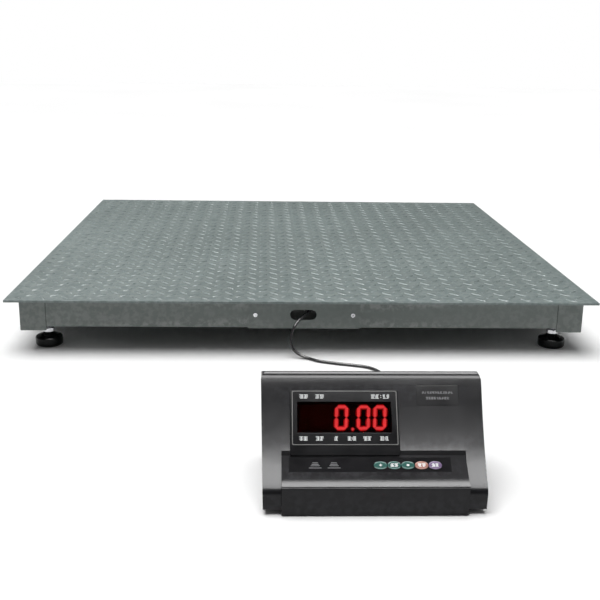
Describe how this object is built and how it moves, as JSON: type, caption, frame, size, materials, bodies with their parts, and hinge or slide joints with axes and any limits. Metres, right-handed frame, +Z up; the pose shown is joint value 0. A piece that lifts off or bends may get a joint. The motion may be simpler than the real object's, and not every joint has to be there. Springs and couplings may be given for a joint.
{
  "type": "pallet scale",
  "caption": "Low square tread-plate weighing platform on levelling feet and load cells, with a cabled desk-top indicator that has an LED display and a row of oval keys.",
  "frame": {"origin": "on the floor, under the centre of the platform", "axes": "+X to the right and +Y to the back as seen from the indicator, +Z up"},
  "size_m": [1, 1.5565, 0.1397],
  "materials": {
    "deck_paint": "semi-gloss grey-green paint over tread plate",
    "frame_paint": "semi-gloss grey-green paint",
    "cell_steel": "nickel-plated alloy steel",
    "black_steel": "black oxide",
    "zinc_steel": "bright zinc plate",
    "grey_plastic": "moulded grey ABS",
    "circuit_board": "solder mask",
    "trimmer_blue": "moulded",
    "terminal_green": "moulded",
    "gland_nylon": "moulded nylon",
    "cable_jacket": "PVC jacket with a soft sheen",
    "foot_black": "glossy black moulded rubber",
    "case_black": "fine-textured black ABS with a satin sheen",
    "panel_film": "printed overlay film",
    "smoked_window": "smoked red filter",
    "led_red": "seven-segment modules",
    "key_green": "printed key",
    "key_salmon": "printed key",
    "key_lilac": "printed key",
    "laminated_steel": "varnished laminations",
    "battery_case": "moulded",
    "fitting_black": "moulded",
    "rocker_red": "moulded",
    "connector_metal": "tinned steel shell",
    "plug_black": "moulded hood",
    "pad_rubber": "moulded"
  },
  "bodies": {
    "platform": {"deck_plate": "deck_paint", "front_channel": "frame_paint", "rear_channel": "frame_paint", "side_channels": "frame_paint", "cross_beams": "frame_paint", "corner_guards": "frame_paint", "cell_mounting_blocks": "frame_paint", "load_cells": "cell_steel", "load_cell_bolts": "black_steel", "access_cover": "frame_paint", "cover_screws": "zinc_steel", "junction_box": "grey_plastic", "junction_box_lid": "grey_plastic", "junction_box_screws": "zinc_steel", "junction_board": "circuit_board", "trim_potentiometers": "trimmer_blue", "terminal_blocks": "terminal_green", "cable_glands": "gland_nylon", "load_cell_leads": "cable_jacket", "signal_cable_run": "cable_jacket", "signal_cable_coil": "cable_jacket", "signal_cable_tail": "cable_jacket"},
    "foot_fl": {"foot_cup_fl": "foot_black"},
    "stud_fl": {"foot_stud_fl": "zinc_steel", "lock_nut_fl": "zinc_steel"},
    "foot_fr": {"foot_cup_fr": "foot_black"},
    "stud_fr": {"foot_stud_fr": "zinc_steel", "lock_nut_fr": "zinc_steel"},
    "foot_bl": {"foot_cup_bl": "foot_black"},
    "stud_bl": {"foot_stud_bl": "zinc_steel", "lock_nut_bl": "zinc_steel"},
    "foot_br": {"foot_cup_br": "foot_black"},
    "stud_br": {"foot_stud_br": "zinc_steel", "lock_nut_br": "zinc_steel"},
    "indicator": {"upper_case": "case_black", "lower_case": "case_black", "display_bezel": "panel_film", "display_window": "smoked_window", "led_display": "led_red", "main_board": "circuit_board", "keypad_panel": "panel_film", "key_board": "circuit_board", "transformer": "laminated_steel", "battery": "battery_case", "battery_cover": "case_black", "switch_housing": "fitting_black", "mains_inlet": "fitting_black", "fuse_holder": "fitting_black", "serial_port": "connector_metal", "signal_socket": "connector_metal", "signal_plug": "plug_black", "nameplate": "panel_film", "rubber_feet": "pad_rubber", "case_screws": "zinc_steel"},
    "key_1_cap": {"key_1": "key_green"},
    "key_2_cap": {"key_2": "key_green"},
    "key_3_cap": {"key_3": "key_green"},
    "key_4_cap": {"key_4": "key_salmon"},
    "key_5_cap": {"key_5": "key_lilac"},
    "rocker": {"power_rocker": "rocker_red"}
  },
  "joints": [
    {"name": "foot_fl_level", "type": "slide", "parent": "platform", "child": "foot_fl", "axis": [0, 0, -1], "range_m": [0, 0.012]},
    {"name": "foot_fl_turn", "type": "hinge", "parent": "foot_fl", "child": "stud_fl", "pos_m": [-0.441, -0.441, 0.03], "axis": [0, 0, -1], "range_deg": [0, 2470]},
    {"name": "foot_fr_level", "type": "slide", "parent": "platform", "child": "foot_fr", "axis": [0, 0, -1], "range_m": [0, 0.012]},
    {"name": "foot_fr_turn", "type": "hinge", "parent": "foot_fr", "child": "stud_fr", "pos_m": [0.441, -0.441, 0.03], "axis": [0, 0, -1], "range_deg": [0, 2470]},
    {"name": "foot_bl_level", "type": "slide", "parent": "platform", "child": "foot_bl", "axis": [0, 0, -1], "range_m": [0, 0.012]},
    {"name": "foot_bl_turn", "type": "hinge", "parent": "foot_bl", "child": "stud_bl", "pos_m": [-0.441, 0.441, 0.03], "axis": [0, 0, -1], "range_deg": [0, 2470]},
    {"name": "foot_br_level", "type": "slide", "parent": "platform", "child": "foot_br", "axis": [0, 0, -1], "range_m": [0, 0.012]},
    {"name": "foot_br_turn", "type": "hinge", "parent": "foot_br", "child": "stud_br", "pos_m": [0.441, 0.441, 0.03], "axis": [0, 0, -1], "range_deg": [0, 2470]},
    {"name": "indicator_lift", "type": "slide", "parent": "platform", "child": "indicator", "axis": [0, 0, 1], "range_m": [0, 0.2]},
    {"name": "key_1_press", "type": "slide", "parent": "indicator", "child": "key_1_cap", "axis": [0, 0.5736, -0.8192], "range_m": [0, 0.0008], "stiffness_N_per_m": 500, "springref_m": -0.0008},
    {"name": "key_2_press", "type": "slide", "parent": "indicator", "child": "key_2_cap", "axis": [0, 0.5736, -0.8192], "range_m": [0, 0.0008], "stiffness_N_per_m": 500, "springref_m": -0.0008},
    {"name": "key_3_press", "type": "slide", "parent": "indicator", "child": "key_3_cap", "axis": [0, 0.5736, -0.8192], "range_m": [0, 0.0008], "stiffness_N_per_m": 500, "springref_m": -0.0008},
    {"name": "key_4_press", "type": "slide", "parent": "indicator", "child": "key_4_cap", "axis": [0, 0.5736, -0.8192], "range_m": [0, 0.0008], "stiffness_N_per_m": 500, "springref_m": -0.0008},
    {"name": "key_5_press", "type": "slide", "parent": "indicator", "child": "key_5_cap", "axis": [0, 0.5736, -0.8192], "range_m": [0, 0.0008], "stiffness_N_per_m": 500, "springref_m": -0.0008},
    {"name": "power_rocker_tilt", "type": "hinge", "parent": "indicator", "child": "rocker", "pos_m": [-0.0215, -0.9035, 0.0415], "axis": [-1, 0, 0], "range_deg": [0, 18]}
  ],
  "couplings": [
    {"joint": "foot_fl_turn", "follows": "foot_fl_level", "rad_per_m": 3590.4},
    {"joint": "foot_fr_turn", "follows": "foot_fr_level", "rad_per_m": 3590.4},
    {"joint": "foot_bl_turn", "follows": "foot_bl_level", "rad_per_m": 3590.4},
    {"joint": "foot_br_turn", "follows": "foot_br_level", "rad_per_m": 3590.4}
  ]
}
